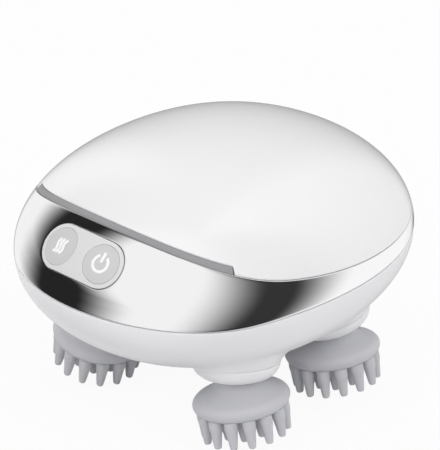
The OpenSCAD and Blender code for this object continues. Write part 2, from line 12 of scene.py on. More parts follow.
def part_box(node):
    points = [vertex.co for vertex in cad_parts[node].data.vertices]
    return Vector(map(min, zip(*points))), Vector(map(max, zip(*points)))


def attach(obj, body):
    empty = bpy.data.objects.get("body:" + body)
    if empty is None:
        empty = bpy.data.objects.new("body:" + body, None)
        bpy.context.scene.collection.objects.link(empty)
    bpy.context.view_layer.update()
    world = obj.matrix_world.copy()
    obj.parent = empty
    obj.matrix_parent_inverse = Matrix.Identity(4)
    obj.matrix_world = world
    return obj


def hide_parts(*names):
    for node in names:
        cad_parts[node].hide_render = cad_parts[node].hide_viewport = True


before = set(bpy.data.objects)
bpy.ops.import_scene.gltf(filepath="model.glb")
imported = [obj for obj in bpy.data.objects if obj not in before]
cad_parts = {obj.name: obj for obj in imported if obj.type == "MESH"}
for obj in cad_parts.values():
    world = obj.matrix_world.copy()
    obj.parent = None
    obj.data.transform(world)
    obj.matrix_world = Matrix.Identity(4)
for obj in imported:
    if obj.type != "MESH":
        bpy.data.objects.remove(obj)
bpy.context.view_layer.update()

MM = 0.001


def low(node):
    """Lowest corner of a CAD node, in millimetres."""
    return np.array(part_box(node)[0]) / MM


def high(node):
    """Highest corner of a CAD node, in millimetres."""
    return np.array(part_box(node)[1]) / MM


# ---------------------------------------------------------------- sizes

# Body: two half ellipsoids that share the equator
HALF_W, HALF_L = high("chrome_band")[:2]
TOP_H = 33.4
LOW_H = 32.7
FULLNESS = 0.0213           # how much the plan swells between its four ends
EQ_Z = high("top_cover")[2] - TOP_H

# Walls and edge roundings
COVER_WALL = 2.4
BAND_WALL = 1.8
SHELL_WALL = 2.4
COVER_ROLL = 0.5
BAND_ROLL = 0.4
BAND_FOOT_ROLL = 0.9        # the band's lower edge is rounder
HOLE_ROLL = 0.08            # edge of the band's hole for the key panel
SHELL_ROLL = 0.35
SEAM_GAP = 0.03             # half the fine line between two casings
BAND_COLUMNS = 480          # points round the band, and levels of its outer and inner side
BAND_ROWS = 26
PILL_SPAN = 25              # degrees to each side of the front that the rings round the pill take up
PILL_ROW = 6                # lowest level of the band that they take up
POLE_CROWDING = 1.2         # above 1 the cover's rows lie closer together near its top

# Edge of the cover: two arcs that meet at TURN_Y
TURN_Y = -22.5
TURN_Z = 10.27
EDGE_FALL = 0.157
FRONT_R = 62.3
REAR_R = 412.0

# Lower edge of the band: level, with a soft dip towards the front
SEAM_Z = 0.15
DIP = 1.7
DIP_Y = -43.0
DIP_SPREAD = 18.0

# Grey strip under the cover's front edge
STRIP_H = 2.3
STRIP_T = 1.2
STRIP_SINK = 0.25
STRIP_END_X = 41.3          # where the strip's ends stand, left and right
STEP_W = 0.25               # half width of the cover's step at those ends
STRIP_GAP = 0.05            # between the strip and the cover above it
STRIP_ROLL = 0.15

# Key panel
PANEL_Z = 14.6
PANEL_R = 7.3
KEY_PITCH = 16.5
KEY_R = 6.0
KEY_GAP = 0.05
KEY_ROLL = 0.2
KEY_DEPTH = 3.0             # from a cap's rim down to its open end
PANEL_GAP = 0.24            # between the panel and the band
PANEL_T = 2.2
PANEL_ROLL = 0.16
PANEL_LEAN = 47.3           # degrees that the panel's normal leans forward from upright
PROUD = 0.3                 # panel and keys stand this far above the band

# Printed marks on the keys
MARK_WIDTH = 1.0
INK_T = 0.03
INK_SINK = 0.1
WAVE_PITCH = 1.3
WAVE_H = 2.3                # half height of the wavy strokes
WAVE_SLANT = 0.75
WAVE_SWING = 0.5
RING_R = 2.5
RING_OPEN = 30              # degrees that the ring is open to each side of its bar
BAR_MID = 1.95
BAR_H = 1.6                 # half length of the bar

# Heads
HEAD_X = 30.5
HEAD_Y = 21.1
HEAD_DROP = 39.7
HEAD_TILT = math.radians(12)
COLLAR_LEAN = math.radians(8)
COLLAR_T = 12.0             # where a collar's axis crosses its head's
SEAT = 2.3                  # from there up to the plane between collar and boss
BOSS_R = 13.7
BOSS_FLARE = 2.4            # rise of a boss's side per millimetre of radius
BOSS_BLEND = 5.0            # depth of the fillet between a boss and the shell
BOSS_FLOOR = 3.0
BOSS_REACH = 21.0
BOSS_STEP = 0.35            # from the seat up to where a boss's side starts
BOSS_RIM = ((0.03, 0.2), (0.12, 0.06), (0.35, 0.0))     # its rounding: in from the side, up from the seat
BOSS_PROUD = 0.03           # how far a boss's skirt stands above the shell
BOSS_SKIRT = 1.2            # how deep the skirt's edge lies in the shell
BOSS_CUT = 0.02             # gap between a boss and the shell's hole for it
SOCKET_GAP = 0.15
BOWL_R = 5.2
COLLAR_WALL = 1.6
COLLAR_LIP = 0.3
COLLAR_ROLL = 0.08
MOUTH_BEVEL = 0.1
MOUTH_R = 8.5
SEAL_R = 6.5
NECK_R = 7.0
NECK_TOP = 10.4
DISC_R = 15.0
DISC_LOW = 1.8
OUTER_FINGERS = 14
OUTER_RING_R = 12.7
INNER_FINGERS = 7
INNER_RING_R = 6.6
FINGER_REACH = 10.18

SIDES = {"left": -1, "right": 1}
ENDS = {"front": -1, "rear": 1}
FRONT = 1.5 * np.pi         # plan angle of the front, counted from +X


# ---------------------------------------------------------------- body surface

def plan_swell(t):
    """g(t) = 1 + FULLNESS sin(2t)^2."""
    return 1 + FULLNESS * np.sin(2 * t) ** 2


def body_normal(t, u):
    """Unit normal: the cross product of the surface's two derivatives."""
    g = plan_swell(t)
    dg = 4 * FULLNESS * np.sin(2 * t) * np.cos(2 * t)
    h = np.where(u >= 0, TOP_H, LOW_H)
    along = np.stack([HALF_W * (dg * np.cos(t) - g * np.sin(t)),
                      HALF_L * (dg * np.sin(t) + g * np.cos(t)), 0 * u], -1)
    up = np.stack([-HALF_W * g * np.cos(t) * np.sin(u),
                   -HALF_L * g * np.sin(t) * np.sin(u), h * np.cos(u)], -1)
    n = np.cross(along, up)
    return n / np.linalg.norm(n, axis=-1, keepdims=True)


def body(t, u, inset=0.0):
    """(W g cos t cos u, L g sin t cos u, H sin u), moved inset along the inward normal.
    t runs round the plan from +X, u is the latitude."""
    t, u, inset = np.broadcast_arrays(np.asarray(t, float), u, inset)
    g = plan_swell(t)
    h = np.where(u >= 0, TOP_H, LOW_H)
    p = np.stack([HALF_W * g * np.cos(t) * np.cos(u),
                  HALF_L * g * np.sin(t) * np.cos(u), EQ_Z + h * np.sin(u)], -1)
    return p - inset[..., None] * body_normal(t, u)


def body_place(p):
    """(t, u) of points on the body's surface."""
    t = np.arctan2(p[..., 1] / HALF_L, p[..., 0] / HALF_W)
    z = p[..., 2] - EQ_Z
    return t, np.arcsin(np.clip(z / np.where(z >= 0, TOP_H, LOW_H), -1, 1))


def body_level(p):
    """Below 1 inside the body, above 1 outside: (x/Wg)^2 + (y/Lg)^2 + (z/H)^2."""
    t = np.arctan2(p[..., 1] / HALF_L, p[..., 0] / HALF_W)
    z = p[..., 2] - EQ_Z
    flat = (p[..., 0] / HALF_W) ** 2 + (p[..., 1] / HALF_L) ** 2
    return flat / plan_swell(t) ** 2 + (z / np.where(z >= 0, TOP_H, LOW_H)) ** 2


def meet_body(origin, direction, far):
    """Distance along direction, up to far, at which each line enters the body, by halving."""
    outside = np.zeros(origin.shape[:-1])
    inside = np.full(origin.shape[:-1], float(far))
    for _ in range(42):
        middle = (outside + inside) / 2
        within = body_level(origin + middle[..., None] * direction) < 1
        inside = np.where(within, middle, inside)
        outside = np.where(within, outside, middle)
    return inside


def latitude(t, height):
    """Latitude at which the body's surface meets the height profile height(y): half a step
    towards the profile's height at the present place, repeated until it settles."""
    u = np.zeros_like(t)
    for _ in range(80):
        z = height(body(t, u)[..., 1])
        share = np.clip(z / np.where(z >= 0, TOP_H, LOW_H), -0.96, 0.96)
        u = 0.5 * u + 0.5 * np.arcsin(share)
    return u


def latitude_step(t, u):
    """Change of latitude per millimetre along the surface: 1 / |dP/du|."""
    small = 1e-4
    return small / np.linalg.norm(body(t, u + small) - body(t, u), axis=-1)


def cover_edge(y):
    """Height of the cover's edge: lower halves of two circles, tangent at TURN_Y."""
    slope = math.atan(EDGE_FALL)
    r = np.where(y < TURN_Y, FRONT_R, REAR_R)
    from_centre = y - TURN_Y - r * math.sin(slope)
    return TURN_Z + r * math.cos(slope) - np.sqrt(r * r - from_centre ** 2)


def strip_top(y):
    """Height of the strip's upper edge: STRIP_H above the cover's edge."""
    return cover_edge(y) + STRIP_H


def band_edge(y):
    """Height of the band's lower edge: SEAM_Z - DIP exp(-((y - DIP_Y) / DIP_SPREAD)^2)."""
    return SEAM_Z - DIP * np.exp(-((y - DIP_Y) / DIP_SPREAD) ** 2)


# ---------------------------------------------------------------- meshes

def add_mesh(name, points, faces, body_name="casing"):
    """One closed smooth mesh from points in millimetres, welded, faces outward."""
    mesh = bpy.data.meshes.new(name)
    mesh.from_pydata((np.asarray(points).reshape(-1, 3) * MM).tolist(), [], faces)
    work = bmesh.new()
    work.from_mesh(mesh)
    bmesh.ops.remove_doubles(work, verts=work.verts, dist=2e-6)
    bmesh.ops.recalc_face_normals(work, faces=work.faces)
    for face in work.faces:
        face.smooth = True
    work.to_mesh(mesh)
    work.free()
    obj = bpy.data.objects.new(name, mesh)
    bpy.context.scene.collection.objects.link(obj)
    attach(obj, body_name)
    return obj


def grid_faces(rows, columns, wrap_rows=False, first=0):
    """Quads of a grid of points, numbered row by row, whose rows are closed rings."""
    r = np.arange(rows if wrap_rows else rows - 1)
    c = np.arange(columns)
    r, c = np.meshgrid(r, c, indexing="ij")
    r2, c2 = (r + 1) % rows, (c + 1) % columns
    quads = np.stack([r * columns + c, r * columns + c2, r2 * columns + c2, r2 * columns + c], -1)
    return (quads.reshape(-1, 4) + first).tolist()


def skin(rows, torus=False, first=0):
    """Points and faces of a skin through rows[i, j] that wraps along j. Its end rows
    close with fans, or meet each other when it is a torus."""
    m, n = rows.shape[:2]
    points = rows.reshape(-1, 3)
    faces = grid_faces(m, n, wrap_rows=torus, first=first)
    if not torus:
        points = np.vstack([points, rows[0].mean(0), rows[-1].mean(0)])
        j = np.arange(n)
        for start, pole in ((0, m * n), ((m - 1) * n, m * n + 1)):
            fan = np.stack([start + j, start + (j + 1) % n, 0 * j + pole], -1) + first
            faces += fan.tolist()
    return points, faces


def joined(parts):
    """Points and faces of several skins as one mesh."""
    points, faces, count = [], [], 0
    for rows, torus in parts:
        p, f = skin(rows, torus, count)
        points.append(p)
        faces += f
        count += len(p)
    return np.vstack(points), faces


def arc(steps, start=0.0, end=90.0):
    """Angles in radians, from start to end degrees."""
    return np.radians(np.linspace(start, end, steps))


def circle_angles(n):
    """n even angles round a circle."""
    return np.linspace(0, 2 * np.pi, n, endpoint=False)


def shares(n):
    """Column of the even shares between 0 and 1 that n steps give, without both ends."""
    return np.linspace(0, 1, n, endpoint=False)[1:, None]


def lathe(profile, n, frame_at):
    """Rows of the solid of revolution whose profile is (radius, height) pairs."""
    profile = np.asarray(profile, float)
    a = circle_angles(n)
    r, h = profile[:, :1], profile[:, 1:]
    return frame_at(r * np.cos(a), r * np.sin(a), h + 0 * a)


def rolled(edge, away, t, roll, wall):
    """Rows that round the edge at latitude edge: quarter circle of radius roll from the
    outer surface, then in to the wall's depth. away is +1 where the piece lies above."""
    a = arc(6)[:, None]
    step = latitude_step(t, edge)
    u = edge + away * roll * (1 - np.sin(a)) * step
    inset = roll * (1 - np.cos(a)) + 0 * t
    return np.vstack([u, edge[None]]), np.vstack([inset, np.full_like(t, wall)[None]])


def cut(obj, *cutters):
    """Takes the cutters' volumes out of obj and removes them."""
    for cutter in cutters:
        change = obj.modifiers.new("cut", "BOOLEAN")
        change.operation = "DIFFERENCE"
        change.solver = "EXACT"
        change.object = cutter
    bpy.context.view_layer.update()
    result = bpy.data.meshes.new_from_object(obj.evaluated_get(bpy.context.evaluated_depsgraph_get()))
    obj.modifiers.clear()
    obj.data = result
    for cutter in cutters:
        bpy.data.objects.remove(cutter)


# ---------------------------------------------------------------- placing

def placer(origin, across, along):
    """Function that places local (x, y, height) in a frame of two directions and their normal."""
    axis = np.cross(across, along)

    def place(x, y, h):
        x, y, h = np.broadcast_arrays(np.asarray(x, float), y, h)
        return origin + x[..., None] * across + y[..., None] * along + h[..., None] * axis
    return place


def at_head(side, end):
    """Places along a head's leaning axis, from its disc's centre."""
    across = np.array([math.cos(HEAD_TILT), 0, side * math.sin(HEAD_TILT)])
    return placer(np.array([side * HEAD_X, end * HEAD_Y, EQ_Z - HEAD_DROP]), across, np.array([0, 1.0, 0]))


def at_collar(side, end):
    """Places along a collar's axis, which leans to the side and to the end."""
    c, s = math.cos(COLLAR_LEAN), math.sin(COLLAR_LEAN)
    across = np.array([c, 0, side * s])
    along = np.array([-side * end * s * s, c, end * s * c])
    return placer(at_head(side, end)(0, 0, COLLAR_T), across, along)


PANEL_OUT = np.array([0, -math.sin(math.radians(PANEL_LEAN)), math.cos(math.radians(PANEL_LEAN))])
PANEL_UP = np.array([0, math.cos(math.radians(PANEL_LEAN)), math.sin(math.radians(PANEL_LEAN))])
PANEL_MID = np.array([0, -HALF_L * math.sqrt(1 - (PANEL_Z / TOP_H) ** 2), EQ_Z + PANEL_Z])
PANEL_AHEAD = 30.0          # a plane wholly in front of the body there


def at_panel(p, q, depth):
    """Point (p across, q up) of the key panel, depth below its plane."""
    p, q, depth = np.broadcast_arrays(np.asarray(p, float), q, depth)
    across = np.array([1.0, 0, 0])
    return PANEL_MID + p[..., None] * across + q[..., None] * PANEL_UP - depth[..., None] * PANEL_OUT


def on_body(p, q, inset=0.0):
    """Point of the body's surface that lies behind (p, q) of the key panel."""
    start = at_panel(p, q, -PANEL_AHEAD)
    s = meet_body(start, -PANEL_OUT, 2 * PANEL_AHEAD)
    t, u = body_place(start - s[..., None] * PANEL_OUT)
    return body(t, u, inset)


def pill_radius(a, r):
    """Distance from the middle of the pill outline to its edge, at angle a."""
    c = KEY_PITCH / 2
    straight = np.abs(r / np.where(np.abs(np.sin(a)) < 1e-9, 1e-9, np.sin(a)))
    round_end = c * np.abs(np.cos(a)) + np.sqrt(np.maximum(r * r - (c * np.sin(a)) ** 2, 0))
    return np.where(straight * np.abs(np.cos(a)) <= c, straight, round_end)


# ---------------------------------------------------------------- casings

def wrapped(a):
    """Angle a brought between -pi and pi."""
    return (a + np.pi) % (2 * np.pi) - np.pi


def plan_angles():
    """Columns round the body, even but for close ones up to two widths to each side of the
    two steps of the cover's edge."""
    even = circle_angles(360)
    steps = []
    width = STEP_W / HALF_W
    for s in step_angles():
        steps += list(s + width * np.linspace(-2, 2, 13))
        even = even[np.abs(wrapped(even - s)) > 2.4 * width]
    return np.sort(np.concatenate([even, steps]) % (2 * np.pi))


def step_angles():
    """Plan angles at which the strip ends: where the cover's edge has x = +-STRIP_END_X."""
    t = np.linspace(FRONT, 2 * np.pi, 2000)
    x = body(t, latitude(t, cover_edge))[:, 0]
    right = np.interp(STRIP_END_X, x, t)
    return 2 * FRONT - right, right


def in_front(t):
    """1 over the strip, 0 behind it, with a short smooth step between."""
    right = step_angles()[1]
    from_front = np.abs(wrapped(t - FRONT))
    x = np.clip(((right - FRONT) - from_front) * HALF_W / STEP_W * 0.5 + 0.5, 0, 1)
    return x * x * (3 - 2 * x)


def top_cover():
    """Glossy half shell: rows at shares of the way from its edge to the pole, outside and
    inside, with a rolled edge between them. The edge steps up where the strip lies."""
    t = plan_angles()
    share = in_front(t)
    edge = (1 - share) * latitude(t, cover_edge) + share * latitude(t, strip_top)
    edge = edge + SEAM_GAP * latitude_step(t, edge)
    u_roll, inset_roll = rolled(edge, 1, t, COVER_ROLL, COVER_WALL)
    climb = 1 - np.linspace(1, 0, 60, endpoint=False)[1:, None] ** POLE_CROWDING
    u_out = (u_roll[0] + climb * (np.pi / 2 - u_roll[0]))[::-1]
    u_in = edge + shares(14) * (np.pi / 2 - edge)
    u = np.vstack([u_out, u_roll, u_in])
    inset = np.vstack([0 * u_out, inset_roll, 0 * u_in + COVER_WALL])
    points, faces = skin(body(t, u, inset))
    obj = add_mesh("top_cover_skin", points, faces)
    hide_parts("top_cover")
    return obj


def trim_strip():
    """Matt strip let in below the cover's front edge: a flat section with rounded outer
    corners, carried along between the cover's edge and the strip's own top."""
    left, right = step_angles()
    end = STEP_W / HALF_W
    t = np.linspace(left + end, right - end, 200)
    bottom = latitude(t, cover_edge)
    top = latitude(t, strip_top)
    step = latitude_step(t, bottom)
    bottom = bottom + SEAM_GAP * step
    top = top - STRIP_GAP * step
    r = STRIP_ROLL
    bend = 0.3 * r      # how far the middle of a rounded corner lies from both its sides
    corners = [(bottom + r * step, STRIP_SINK), (top - r * step, STRIP_SINK),
               (top - bend * step, STRIP_SINK + bend), (top, STRIP_SINK + r),
               (top, STRIP_T + STRIP_SINK), (bottom, STRIP_T + STRIP_SINK),
               (bottom, STRIP_SINK + r), (bottom + bend * step, STRIP_SINK + bend)]
    rows = np.stack([body(t, u, inset) for u, inset in corners], 1)
    points, faces = skin(rows)
    obj = add_mesh("trim_strip_skin", points, faces)
    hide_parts("trim_strip")
    return obj


def pill_rings(outer_edge, inner_edge):
    """Rings round the key panel's hole: on straight ways from the outer side's border in to
    the pill, over its rolled edge, through the wall and out to the inner side's border."""
    radius = PANEL_R + PANEL_GAP
    angle = np.arctan2((outer_edge - PANEL_MID) @ PANEL_UP, outer_edge[:, 0])

    def pill(r, inset):
        """Pill outline of radius r on the body's surface."""
        size = pill_radius(angle, r)
        return on_body(size * np.cos(angle), size * np.sin(angle), inset)

    def between(edge, r, inset, parts):
        """Rings at parts of the way from a border to the pill outline of radius r."""
        size = pill_radius(angle, r)
        p, q = edge[:, 0], (edge - PANEL_MID) @ PANEL_UP
        to_p, to_q = size * np.cos(angle) - p, size * np.sin(angle) - q
        return [on_body(p + part * to_p, q + part * to_q, inset) for part in parts]

    parts = np.linspace(0, 1, 9)[1:]
    rings = [outer_edge] + between(outer_edge, radius + HOLE_ROLL, 0.0, parts)
    rings += [pill(radius + HOLE_ROLL * (1 - np.sin(a)), HOLE_ROLL * (1 - np.cos(a))) for a in arc(4)[1:]]
    rings.append(pill(radius, BAND_WALL))
    rings += between(inner_edge, radius, BAND_WALL, parts[-2::-1])
    return np.stack(rings + [inner_edge])


def chrome_band():
    """Mirror ring: rows between its two edges, outside and inside, with a rolled edge at top
    and bottom. In front, rings that fit the pill take the place of some of its quads."""
    n, m = BAND_COLUMNS, BAND_ROWS
    t = circle_angles(n)
    bottom = latitude(t, band_edge)
    bottom = bottom + SEAM_GAP * latitude_step(t, bottom)
    top = latitude(t, cover_edge)
    top = top - SEAM_GAP * latitude_step(t, top)
    u_low, inset_low = rolled(bottom, 1, t, BAND_FOOT_ROLL, BAND_WALL)
    u_top, inset_top = rolled(top, -1, t, BAND_ROLL, BAND_WALL)
    share = np.linspace(0, 1, m)[:, None]
    outer = body(t, u_low[0] + share * (u_top[0] - u_low[0]))
    inner = body(t, bottom + share * (top - bottom), BAND_WALL)
    # rows run: outer side from low to high, top roll, inner side from high to low, low roll
    rows = np.concatenate([outer, body(t, u_top, inset_top)[1:-1], inner[::-1],
                           body(t, u_low, inset_low)[1:-1][::-1]])
    faces = np.array(grid_faces(len(rows), n, wrap_rows=True))
    span = round(PILL_SPAN / 360 * n)
    c0, c1 = n * 3 // 4 - span, n * 3 // 4 + span
    r0, r1 = PILL_ROW, m - 1
    inner_start = m + len(u_top) - 2
    row, column = faces[:, 0] // n, faces[:, 0] % n
    inner_row = inner_start + m - 1 - row
    in_outer = (row >= r0) & (row < r1)
    in_inner = (row >= inner_start) & (inner_row > r0) & (inner_row <= r1)
    faces = faces[~((column >= c0) & (column < c1) & (in_outer | in_inner))].tolist()

    def border(side):
        """Border of the missing quads of one side, in order."""
        return np.vstack([side[r0, c0:c1], side[r0:r1, c1], side[r1, c1:c0:-1], side[r1:r0:-1, c0]])

    rings = pill_rings(border(outer), border(inner))
    faces += grid_faces(len(rings), rings.shape[1], first=rows.size // 3)
    obj = add_mesh("chrome_band_skin", np.vstack([rows.reshape(-1, 3), rings.reshape(-1, 3)]), faces)
    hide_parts("chrome_band")
    return obj


def boss(side, end):
    """Short round foot of the shell that carries a head. Its side is the lower of its own
    cone and the shell's surface, with a soft fillet between them."""
    place = at_collar(side, end)
    a = circle_angles(160)
    r = BOSS_R + (BOSS_REACH - BOSS_R) * np.linspace(0, 1, 34)[:, None] ** 1.3
    x, y = r * np.cos(a), r * np.sin(a)
    below, far = -16, 40        # from a plane wholly outside the shell to one wholly inside
    axis = place(0, 0, 1) - place(0, 0, 0)
    shell = below + meet_body(place(x, y, below), axis, far)
    cone = SEAT + BOSS_STEP + BOSS_FLARE * (r - BOSS_R) + 0 * a
    near = np.maximum(BOSS_BLEND - np.abs(cone - shell), 0) / BOSS_BLEND
    h = np.minimum(cone, shell) - near ** 2 * BOSS_BLEND / 4 + BOSS_PROUD
    outside = place(x, y, h)
    rim = [place((BOSS_R - d) * np.cos(a), (BOSS_R - d) * np.sin(a), SEAT + e + 0 * a) for d, e in BOSS_RIM]
    floor = SEAT + BOSS_FLOOR
    bore = [seal_bore(side, end, a, level) for level in (SEAT, floor)]
    back = [place((BOSS_R - 1) * np.cos(a), (BOSS_R - 1) * np.sin(a), floor + 0 * a),
            place(BOSS_REACH * np.cos(a), BOSS_REACH * np.sin(a), h[-1] + BOSS_SKIRT)]
    return np.concatenate([outside[::-1], np.stack(rim + bore + back)])


def seal_bore(side, end, a, level):
    """Ring of the seal's bore, along the head's axis, at a level of the collar's frame."""
    place, head_place = at_collar(side, end), at_head(side, end)
    axis = place(0, 0, 1) - place(0, 0, 0)
    head_axis = head_place(0, 0, 1) - head_place(0, 0, 0)
    ring = head_place(SEAL_R * np.cos(a), SEAL_R * np.sin(a), 0)
    rise = (level - (ring - place(0, 0, 0)) @ axis) / (head_axis @ axis)
    return ring + rise[:, None] * head_axis


def lower_shell():
    """Half shell below the band, made as the cover is, upside down. Four round holes are cut
    for the bosses, and a mouth for the charging socket, whose outline is two half circles."""
    t = circle_angles(288)
    edge = latitude(t, band_edge)
    edge = edge - SEAM_GAP * latitude_step(t, edge)
    u_roll, inset_roll = rolled(edge, -1, t, SHELL_ROLL, SHELL_WALL)
    u_out = u_roll[0] + shares(60) * (-np.pi / 2 - u_roll[0])
    u_in = edge + shares(16) * (-np.pi / 2 - edge)
    u = np.vstack([u_out[::-1], u_roll, u_in])
    inset = np.vstack([0 * u_out, inset_roll, 0 * u_in + SHELL_WALL])
    points, faces = skin(body(t, u, inset))
    obj = add_mesh("lower_shell_skin", points, faces)
    cutters = []
    for side in SIDES.values():
        for end in ENDS.values():
            hole = BOSS_R + BOSS_CUT
            rows = lathe([(hole, -9), (hole, 18)], 160, at_collar(side, end))
            points, faces = skin(rows)
            cutters.append(add_mesh("boss_cutter", points, faces))
    a = circle_angles(32)
    lo, hi = low("charging_socket"), high("charging_socket")
    half_w, half_h = (hi[0] - lo[0]) / 2 + SOCKET_GAP, (hi[2] - lo[2]) / 2 + SOCKET_GAP
    x = (half_w - half_h) * np.sign(np.cos(a)) + half_h * np.cos(a)
    z = (lo[2] + hi[2]) / 2 + half_h * np.sin(a)
    rows = np.stack([np.stack([x, 0 * x + y, z], -1) for y in (HALF_L - 12, HALF_L + 4)])
    points, faces = skin(rows)
    cutters.append(add_mesh("mouth_cutter", points, faces))
    cut(obj, *cutters)
    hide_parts("lower_shell")
    pieces = [obj]
    for end_name, end in ENDS.items():
        for side_name, side in SIDES.items():
            points, faces = skin(boss(side, end), torus=True)
            pieces.append(add_mesh(f"boss_{end_name}_{side_name}", points, faces))
    return pieces


def collar(side, end, name):
    """Fixed bowl under a boss: a quarter circle turned about the collar's axis, hollow inside.
    The head's neck reaches into its open mouth."""
    bottom = SEAT - BOWL_R
    hollow = BOSS_R - 2 * COLLAR_WALL
    bowl = [(BOSS_R + BOWL_R * (math.cos(x) - 1), SEAT - BOWL_R * math.sin(x)) for x in arc(24, 4, 90)]
    profile = [(hollow, SEAT), (BOSS_R - COLLAR_LIP, SEAT), (BOSS_R - COLLAR_ROLL, SEAT - COLLAR_ROLL)] + bowl
    profile += [(MOUTH_R + MOUTH_BEVEL, bottom), (MOUTH_R, bottom + MOUTH_BEVEL),
                (MOUTH_R, bottom + COLLAR_WALL), (hollow, bottom + COLLAR_WALL)]
    points, faces = skin(lathe(profile, 128, at_collar(side, end)), torus=True)
    obj = add_mesh(name + "_skin", points, faces)
    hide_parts(name)
    return obj


# ---------------------------------------------------------------- keys

def half_pill_radius(a, r):
    """Distance from a key's centre to the edge of its half of the pill, at angle a."""
    straight = r / np.maximum(np.abs(np.sin(a)), 1e-9)
    middle = KEY_PITCH / 2 / np.maximum(-np.cos(a), 1e-9)
    return np.where(np.cos(a) >= 0, r, np.minimum(straight, middle))


def key_panel():
    """Pill-shaped plate with two round holes: rings from each hole out to the edge of its half
    of the pill, given a wall and rounded edges."""
    corner = math.atan2(PANEL_R, -KEY_PITCH / 2)
    a = np.concatenate([np.linspace(-corner, corner, 96, endpoint=False),
                        np.linspace(corner, 2 * np.pi - corner, 32, endpoint=False)])
    hole = KEY_R + KEY_GAP
    share = np.array([0, 0.12, 0.3, 0.5, 0.7, 0.88, 1])[:, None]
    points, faces, count = [], [], 0
    for mirror in (1, -1):
        r = hole + share * (half_pill_radius(a, PANEL_R) - hole)
        rows = on_body(mirror * (KEY_PITCH / 2 + r * np.cos(a)), r * np.sin(a), -PROUD)
        faces += grid_faces(len(share), len(a), first=count)
        points.append(rows.reshape(-1, 3))
        count += len(points[-1])
    obj = add_mesh("key_panel_skin", np.vstack(points), faces)
    work = bmesh.new()
    work.from_mesh(obj.data)
    face = max(work.faces, key=lambda f: abs(f.normal.dot(Vector(PANEL_OUT.tolist()))))
    if face.normal.dot(Vector(PANEL_OUT.tolist())) < 0:
        bmesh.ops.reverse_faces(work, faces=work.faces)
    work.to_mesh(obj.data)
    work.free()
    thick = obj.modifiers.new("plate", "SOLIDIFY")
    thick.thickness = PANEL_T * MM
    thick.offset = -1
    thick.use_even_offset = False
    edge = obj.modifiers.new("rounded edges", "BEVEL")
    edge.width = PANEL_ROLL * MM
    edge.segments = 3
    edge.limit_method = "ANGLE"
    edge.angle_limit = math.radians(50)
    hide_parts("key_panel")
    return obj


def key(name, side, body_name):
    """Round cap that follows the body's curve: circles out to its rim, a quarter circle of
    radius KEY_ROLL over the rim, and a straight side down."""
    a = circle_angles(96)
    middle = side * KEY_PITCH / 2
    face = [(r, 0.0) for r in np.linspace(0.4, KEY_R - KEY_ROLL, 14)]
    rim = [(KEY_R - KEY_ROLL + KEY_ROLL * math.sin(x), KEY_ROLL * (1 - math.cos(x))) for x in arc(6)[1:]]
    rows = [on_body(middle + r * np.cos(a), r * np.sin(a), drop - PROUD) for r, drop in face + rim]
    rows.append(rows[-1] - KEY_DEPTH * PANEL_OUT)
    points, faces = skin(np.stack(rows))
    obj = add_mesh(name + "_skin", points, faces, body_name)
    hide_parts(name)
    return obj


def ribbon(name, path, width, side, body_name):
    """Flat printed line on a key: a strip of the given width along path, in the key's own
    plane, a hair above its face."""
    path = np.asarray(path, float)
    tangent = np.gradient(path, axis=0)
    tangent /= np.linalg.norm(tangent, axis=1, keepdims=True)
    across = np.stack([-tangent[:, 1], tangent[:, 0]], -1) * width / 2
    rows = []
    for offset, inset in ((1, -PROUD - INK_T), (-1, -PROUD - INK_T),
                          (-1, -PROUD + INK_SINK), (1, -PROUD + INK_SINK)):
        line = path + offset * across
        rows.append(on_body(side * KEY_PITCH / 2 + line[:, 0], line[:, 1], inset))
    points, faces = skin(np.stack(rows, 1))
    return add_mesh(name, points, faces, body_name)


def key_marks():
    """Three slanted strokes, each one period of a sine, on the mode key. On the power key an
    open ring and a bar."""
    marks = []
    s = np.linspace(-1, 1, 40)
    for i, middle in enumerate((-WAVE_PITCH, 0, WAVE_PITCH)):
        wave = -WAVE_SWING * np.sin(np.pi * s)
        path = np.stack([middle + WAVE_SLANT * s + wave, WAVE_H * s], -1)
        marks.append(ribbon(f"mode_mark_{i + 1}", path, MARK_WIDTH, -1, "mode_button"))
    a = np.radians(np.linspace(90 + RING_OPEN, 450 - RING_OPEN, 60))
    ring = RING_R * np.stack([np.cos(a), np.sin(a)], -1)
    marks.append(ribbon("power_mark_ring", ring, MARK_WIDTH, 1, "power_button"))
    bar = np.stack([0 * s, BAR_MID + BAR_H * s], -1)
    marks.append(ribbon("power_mark_bar", bar, MARK_WIDTH, 1, "power_button"))
    return marks


# ---------------------------------------------------------------- heads

def smooth_line(points, steps):
    """Catmull-Rom curve through the points: cubic pieces whose end slopes are half the
    difference of their neighbours."""
    p = np.asarray(points, float)
    p = np.vstack([2 * p[0] - p[1], p, 2 * p[-1] - p[-2]])
    s = np.linspace(0, 1, steps, endpoint=False)[:, None]
    line = []
    for a, b, c, d in zip(p, p[1:], p[2:], p[3:]):
        line.append(0.5 * (2 * b + (c - a) * s + (2 * a - 5 * b + 4 * c - d) * s ** 2
                           + (3 * b - 3 * c + d - a) * s ** 3))
    return np.vstack(line + [p[-2:-1]])


# Outlines as (radius, height) from the disc's centre: the disc with its neck, and one finger downward
HEAD_PROFILE = [(11.4, -1.75), (13.0, -1.35), (14.4, -0.5), (DISC_R, 0.8), (14.9, 1.9), (14.1, 2.9),
                (12.7, 3.6), (10.9, 4.35), (9.3, 5.3), (8.0, 6.6), (7.3, 8.3), (NECK_R, NECK_TOP - 0.25)]
TIP_R = 1.12
TIP_ROLL = 0.5
TIP_FLAT = 0.25
FINGER_PROFILE = [(2.1, 1.0), (2.1, 2.4), (2.05, 3.7), (1.84, 4.6), (1.7, 5.4), (1.3, 8.6), (TIP_R, 9.75)]
FINGER_SPLAY = 0.55         # how much further out the tips of the outer ring stand than their roots


